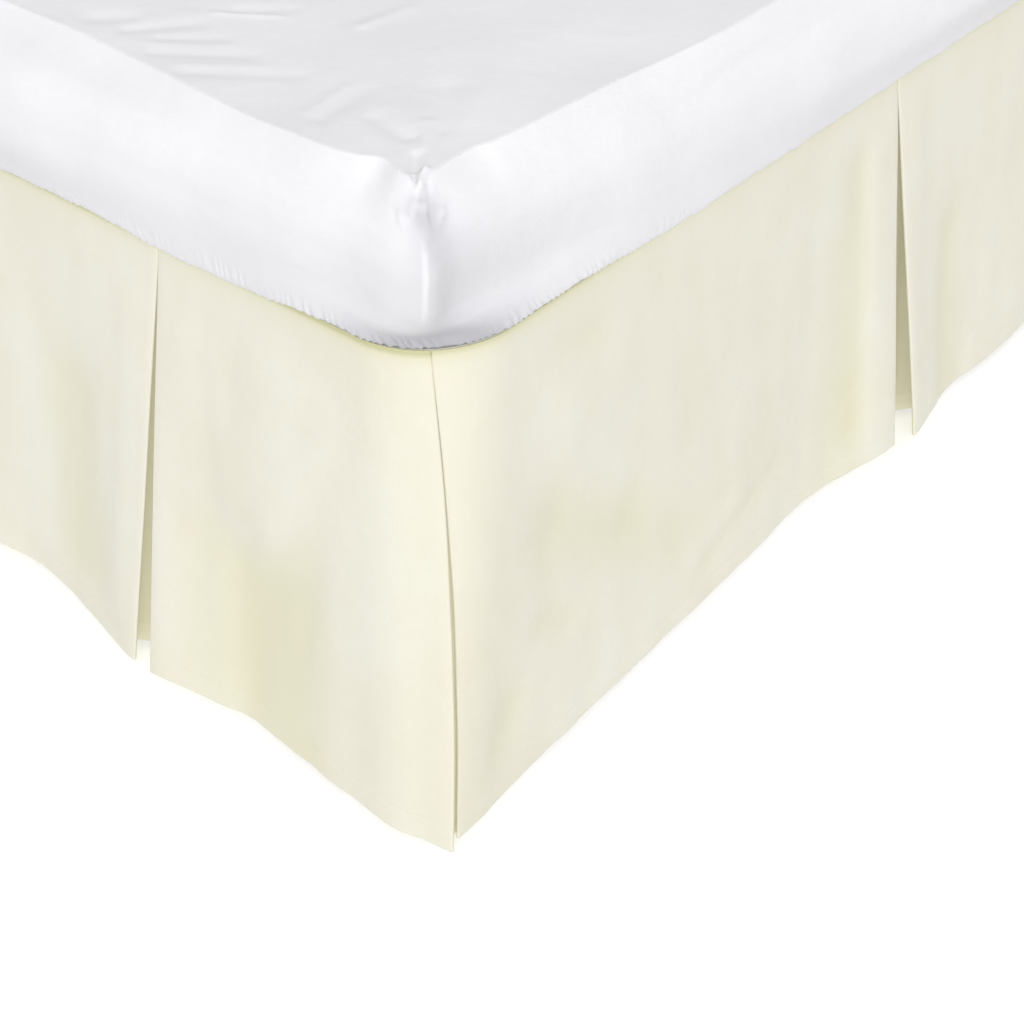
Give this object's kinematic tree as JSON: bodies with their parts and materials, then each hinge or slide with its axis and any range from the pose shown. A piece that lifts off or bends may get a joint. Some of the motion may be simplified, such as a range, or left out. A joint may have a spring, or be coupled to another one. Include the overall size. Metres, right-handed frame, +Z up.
{
  "type": "bed skirt on a divan bed with mattress",
  "caption": "Tailored bed skirt with inverted box pleats and split foot corners, held between a divan base and its mattress, with hems that flare over the floor.",
  "frame": {"origin": "on the floor, in the middle of the whole footprint including the flared hems; the bed itself sits 44 mm towards the head", "axes": "+X across the bed, +Y along it from foot to head, +Z up"},
  "size_m": [1.029, 1.9875, 0.5411],
  "materials": {
    "cream_cotton": "plain woven cotton blend, pressed, matt",
    "white_cover": "white fitted cover, matt",
    "base_cloth": "woven upholstery cloth, matt",
    "black_plastic": "moulded, satin"
  },
  "bodies": {
    "root": {"drop_foot": "cream_cotton", "drop_right": "cream_cotton", "drop_left": "cream_cotton", "corner_underlay_right": "cream_cotton", "corner_underlay_left": "cream_cotton", "skirt_deck": "cream_cotton", "mattress": "white_cover", "divan_base": "base_cloth", "glide_foot_left": "black_plastic", "glide_foot_right": "black_plastic", "glide_middle_left": "black_plastic", "glide_middle_right": "black_plastic", "glide_head_left": "black_plastic", "glide_head_right": "black_plastic"}
  },
  "joints": []
}
